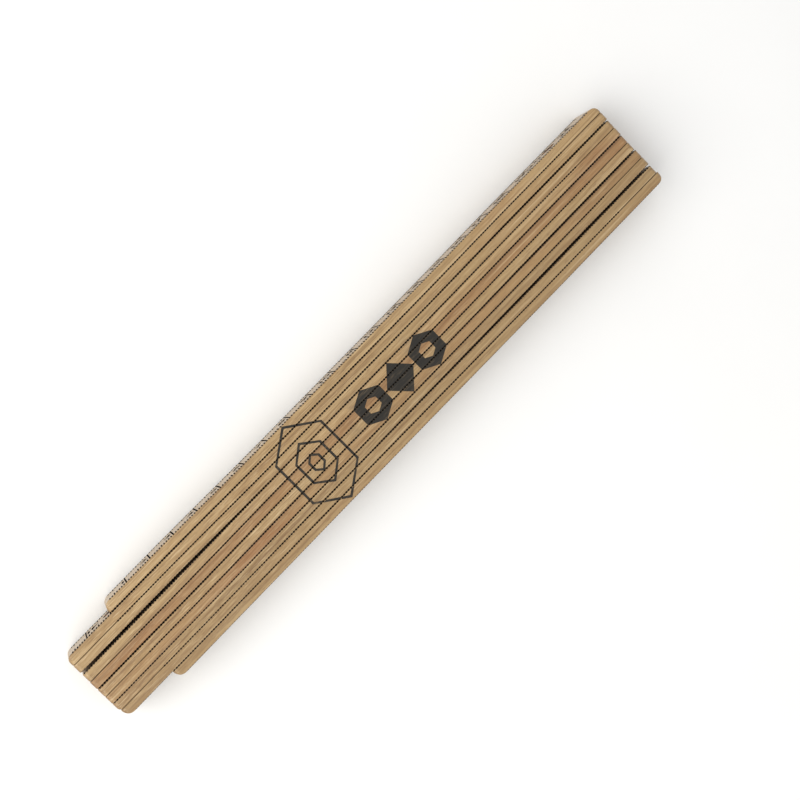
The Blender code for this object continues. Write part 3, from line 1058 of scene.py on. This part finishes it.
    # end grain: darker, with fine pores
    across = wood.math("ABSOLUTE", facing[0])
    end = wood.between(across, 0.5, 0.95)
    pore_space = wood.stretch((900, 5200, 5200))
    pores = wood.add("TexVoronoi", {"Vector": pore_space, "Scale": 1.0}).outputs["Distance"]
    pore = wood.between(pores, 0.35, 0.12)
    end_colour = wood.mix(wood.math("MULTIPLY", pore, 0.5), wood.mix(0.35, colour, BROWN), BROWN)
    colour = wood.mix(end, colour, end_colour)

    grime_space = wood.stretch((300, 700, 700), offset=offset)
    grime = wood.between(wood.noise(grime_space, detail=5.0, roughness=0.7), 0.66, 0.8, 0.0, 0.4)
    colour = wood.mix(grime, colour, BROWN)

    rough = wood.between(fibres, 0.25, 0.8, 0.42, 0.62)
    height = wood.math("ADD", wood.math("MULTIPLY", fibres, 0.6), wood.math("MULTIPLY", flecks, -0.5))
    height = wood.math("ADD", height, wood.math("MULTIPLY", ring_line, -0.3))
    normal = wood.bump(height, 0.05 * MM, 0.6)
    wood.principled(
        Base_Color=colour, Roughness=rough, Normal=normal, Coat_Weight=0.35, Coat_Roughness=0.28,
        Specular_IOR_Level=0.4,
    )
    return wood.material


# Metals: bright, dull and stained
STEEL = (linear(201, 178, 128), linear(170, 150, 112), linear(96, 80, 60))
BRASS = (linear(208, 162, 84), linear(172, 124, 58), linear(84, 60, 34))
# near-black colours for the rivets' bores: painted shade, and tarnish
BORE_SHADE_AND_TARNISH = (linear(46, 32, 20), linear(30, 21, 14), linear(18, 13, 9))
BRASS_RIM = linear(150, 106, 52)
# Inks: fresh and worn
SCALE_INK = (linear(30, 28, 28), linear(80, 70, 58))
MARK_INK = (linear(50, 48, 45), linear(98, 86, 70))


def metal_material(name, colours, rim=(1, 1, 1, 1), metallic=1.0):
    """Plated metal with fine rubbing marks, tarnish and specks: rim is its tint at a grazing angle."""
    bright, dull, darkening = colours
    metal = Shading(name)
    fine = metal.noise(metal.stretch((700, 7000, 7000)), detail=4.0, roughness=0.7)
    cloud = metal.noise(metal.stretch((260, 260, 260)), detail=4.0)
    specks = metal.noise(metal.stretch((2600, 2600, 2600)), detail=2.0)
    colour = metal.mix(metal.between(cloud, 0.35, 0.7), bright, dull)
    colour = metal.mix(metal.between(fine, 0.5, 0.8, 0.0, 0.4), colour, dull)
    colour = metal.mix(metal.between(specks, 0.66, 0.74, 0.0, 0.8), colour, darkening)
    rough = metal.between(fine, 0.2, 0.8, 0.22, 0.45)
    height = metal.math("ADD", metal.math("MULTIPLY", fine, 0.5), metal.math("MULTIPLY", specks, 0.5))
    normal = metal.bump(height, 0.02 * MM, 0.4)
    metal.principled(
        Base_Color=colour, Roughness=rough, Normal=normal, Metallic=metallic, Specular_IOR_Level=0.1,
        Specular_Tint=rim,
    )
    return metal.material


def ink_material(name, colours, low, high, shine):
    """Printing ink that the grain under it breaks up: low and high are the wear it starts and ends at."""
    ink = Shading(name)
    grain = ink.noise(ink.stretch((220, 2600, 2600)), detail=4.0, roughness=0.7)
    patches = ink.noise(ink.stretch((160, 300, 300)), detail=3.0)
    worn = ink.math("ADD", ink.math("MULTIPLY", grain, 0.7), ink.math("MULTIPLY", patches, 0.3))
    share = ink.between(worn, low, high)
    colour = ink.mix(share, *colours)
    rough = ink.between(grain, 0.2, 0.8, 0.65, 0.85)
    normal = ink.bump(grain, 0.02 * MM, 0.5)
    ink.principled(Base_Color=colour, Roughness=rough, Normal=normal, Specular_IOR_Level=shine)
    return ink.material


def floor_material():
    pale = Shading("pale_floor")
    spots = pale.noise(pale.stretch((14, 14, 14)), detail=4.0)
    colour = pale.mix(pale.between(spots, 0.3, 0.7, 0.0, 0.5), FLOOR_PALE, FLOOR_GREY)
    pale.principled(Base_Color=colour, Roughness=pale.between(spots, 0.3, 0.7, 0.75, 0.85))
    return pale.material


# ---------------------------------------------------------------- floor, light and camera


def add_floor():
    work = bmesh.new()
    bmesh.ops.create_grid(work, x_segments=8, y_segments=8, size=FLOOR_HALF)
    floor = new_object("floor", work)
    floor.location.z = -FLOOR_DROP
    floor.data.materials.append(floor_material())


def aim(thing, place, target, roll=0.0):
    turn = (Vector(target) - Vector(place)).to_track_quat("-Z", "Y").to_matrix()
    turn = turn @ Matrix.Rotation(roll, 3, "Z")
    thing.matrix_world = Matrix.Translation(place) @ turn.to_4x4()


def add_light(name, place, size, power, colour):
    lamp = bpy.data.lights.new(name, "AREA")
    lamp.shape = "DISK"
    lamp.size = size
    lamp.energy = power
    lamp.color = colour
    shown = bpy.data.objects.new(name, lamp)
    bpy.context.scene.collection.objects.link(shown)
    aim(shown, place, (0, 0, 0))


def add_world(strength):
    world = bpy.data.worlds.new("studio")
    world.use_nodes = True
    sky = world.node_tree.nodes["Background"]
    sky.inputs["Color"].default_value = (1.0, 1.0, 1.0, 1)
    sky.inputs["Strength"].default_value = strength
    bpy.context.scene.world = world


def add_camera():
    data = bpy.data.cameras.new("camera")
    data.type = "PERSP"
    data.lens = CAMERA_LENS
    data.sensor_width = CAMERA_SENSOR
    data.clip_start = 0.01
    data.clip_end = 20
    camera = bpy.data.objects.new("camera", data)
    bpy.context.scene.collection.objects.link(camera)
    aim(camera, CAMERA_PLACE, CAMERA_AIM, CAMERA_ROLL)
    bpy.context.scene.camera = camera


# ---------------------------------------------------------------- the scene

add_camera()
add_world(WORLD_STRENGTH)
add_light("key", **KEY_LIGHT)
add_light("fill", **FILL_LIGHT)
add_floor()
bpy.context.scene.view_settings.view_transform = "Standard"

for number in range(1, MEMBERS + 1):
    add_member(number)

plated_steel = metal_material("plated_steel", STEEL)
plated_brass = metal_material("plated_brass", BRASS, rim=BRASS_RIM)
# the rivets' bores: a near-black material for painted shade, and tarnish
bore_shade_and_tarnish = metal_material("bore_shade_and_tarnish", BORE_SHADE_AND_TARNISH, metallic=0.0)
for number in PIVOT:
    add_hinge(number, plated_steel, plated_brass, bore_shade_and_tarnish)

scale_ink = ink_material("scale_ink", SCALE_INK, low=0.52, high=0.75, shine=0.0)
mark_ink = ink_material("mark_ink", MARK_INK, low=0.48, high=0.75, shine=0.12)
numerals = digit_meshes()
mark = mark_faces()
for number in range(1, MEMBERS + 1):
    add_scale(number, numerals, scale_ink)
    add_mark(number, mark, mark_ink)
